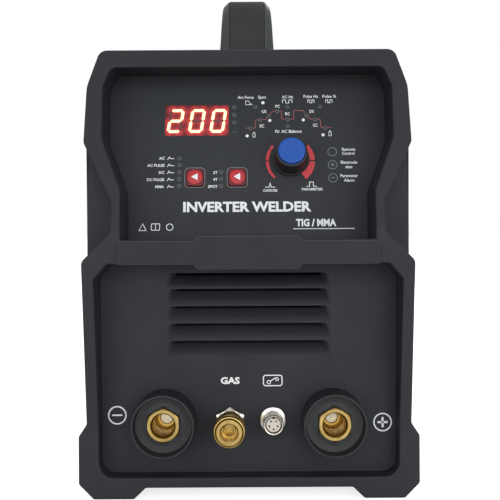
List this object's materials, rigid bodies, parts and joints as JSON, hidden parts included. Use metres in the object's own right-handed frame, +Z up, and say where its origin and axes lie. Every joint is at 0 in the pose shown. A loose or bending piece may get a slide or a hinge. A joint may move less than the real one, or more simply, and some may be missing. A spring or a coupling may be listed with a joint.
{
  "type": "tig welding machine",
  "caption": "Portable inverter welding power source with a recessed sloping control panel, front output sockets, gas and remote connectors, louvred sheet metal case and top handle.",
  "frame": {"origin": "centre of the footprint on the floor, under the feet of the two moulded frames", "axes": "+Z up, the control panel and output sockets face -Y, the fan and mains lead are at +Y, +X is to the right seen from the front"},
  "size_m": [0.204, 0.43, 0.3241],
  "materials": {
    "frame_plastic": "fine moulded texture",
    "bar_plastic": "fine moulded texture",
    "panel_film": "printed film",
    "display_black": "smooth",
    "display_lens": "tinted, glossy",
    "led_clear": "diffuse",
    "switch_black": "moulded",
    "button_red": "moulded",
    "board_green": "solder mask",
    "knob_black": "fluted",
    "knob_blue": "moulded",
    "bright_steel": "zinc plated",
    "nickel": "nickel plated",
    "insert_white": "moulded insulator",
    "brass": "machined",
    "copper": "drawn",
    "winding": "enamelled wire",
    "collar_plastic": "moulded",
    "case_paint": "fine texture powder coat",
    "pan_steel": "galvanised",
    "handle_plastic": "moulded",
    "grip_rubber": "matt",
    "fan_plastic": "moulded",
    "cable_rubber": "matt",
    "gland_plastic": "moulded",
    "rocker_red": "glossy",
    "hose_rubber": "braided",
    "cap_sleeve": "heat-shrink sleeve",
    "sink_aluminium": "extruded",
    "ferrite": "sintered"
  },
  "bodies": {
    "machine": {"front_bezel": "frame_plastic", "centre_bar": "bar_plastic", "control_panel": "panel_film", "control_board": "board_green", "led_display": "display_black", "display_window": "display_lens", "indicator_leds": "led_clear", "tact_switches": "switch_black", "encoder_body": "bright_steel", "encoder_nut": "bright_steel", "panel_screws": "bright_steel", "socket_shells": "collar_plastic", "socket_lock_nuts": "collar_plastic", "socket_cores": "brass", "socket_bolts": "bright_steel", "busbars": "copper", "gas_outlet_body": "brass", "remote_socket_shell": "nickel", "remote_socket_insert": "insert_white", "remote_socket_nut": "nickel", "case_cover": "case_paint", "base_pan": "pan_steel", "case_screws": "bright_steel", "handle_frame": "handle_plastic", "handle_grip": "grip_rubber", "handle_screws": "bright_steel", "rear_bezel": "frame_plastic", "rear_panel": "case_paint", "rear_screws": "bright_steel", "fan_frame": "fan_plastic", "fan_guard": "bright_steel", "fan_screws": "bright_steel", "power_switch_body": "switch_black", "cable_gland": "gland_plastic", "gland_cap": "gland_plastic", "mains_cable": "cable_rubber", "gas_inlet": "brass", "gas_valve_body": "brass", "gas_hoses": "hose_rubber", "power_board": "board_green", "board_standoffs": "bright_steel", "bulk_capacitors": "cap_sleeve", "primary_heatsink": "sink_aluminium", "secondary_heatsink": "sink_aluminium", "transformer_core": "ferrite", "transformer_windings": "winding", "output_choke": "winding", "hf_coil": "winding"},
    "encoder_press": {"encoder_plunger": "insert_white"},
    "knob": {"encoder_shaft": "bright_steel", "knob_body": "knob_black", "knob_cap": "knob_blue"},
    "mode_key": {"mode_button": "button_red"},
    "trigger_key": {"trigger_button": "button_red"},
    "rocker": {"power_rocker": "rocker_red"},
    "fan": {"fan_rotor": "fan_plastic"},
    "sleeve": {"gas_outlet_sleeve": "brass"},
    "poppet": {"gas_outlet_poppet": "brass"},
    "valve_plunger": {"gas_valve_plunger": "bright_steel"}
  },
  "joints": [
    {"name": "knob_press", "type": "slide", "parent": "machine", "child": "encoder_press", "axis": [0, 0.9703, -0.2419], "range_m": [0, 0.0008], "stiffness_N_per_m": 400},
    {"name": "knob_turn", "type": "hinge", "parent": "encoder_press", "child": "knob", "pos_m": [0.0271, -0.16666, 0.20449], "axis": [0, -0.9703, 0.2419], "continuous": true},
    {"name": "mode_button_press", "type": "slide", "parent": "machine", "child": "mode_key", "axis": [0, 0.9703, -0.2419], "range_m": [0, 0.0008], "stiffness_N_per_m": 300},
    {"name": "trigger_button_press", "type": "slide", "parent": "machine", "child": "trigger_key", "axis": [0, 0.9703, -0.2419], "range_m": [0, 0.0008], "stiffness_N_per_m": 300},
    {"name": "power_switch_rock", "type": "hinge", "parent": "machine", "child": "rocker", "pos_m": [0.048, 0.186, 0.078], "axis": [1, 0, 0], "range_deg": [-24, 0]},
    {"name": "fan_spin", "type": "hinge", "parent": "machine", "child": "fan", "pos_m": [0, 0.168, 0.185], "axis": [0, 1, 0], "continuous": true},
    {"name": "gas_sleeve_slide", "type": "slide", "parent": "machine", "child": "sleeve", "axis": [0, 1, 0], "range_m": [0, 0.004], "stiffness_N_per_m": 400},
    {"name": "gas_poppet_slide", "type": "slide", "parent": "machine", "child": "poppet", "axis": [0, 1, 0], "range_m": [0, 0.003], "stiffness_N_per_m": 300},
    {"name": "gas_valve_lift", "type": "slide", "parent": "machine", "child": "valve_plunger", "axis": [0, 0, 1], "range_m": [0, 0.002], "stiffness_N_per_m": 200}
  ]
}
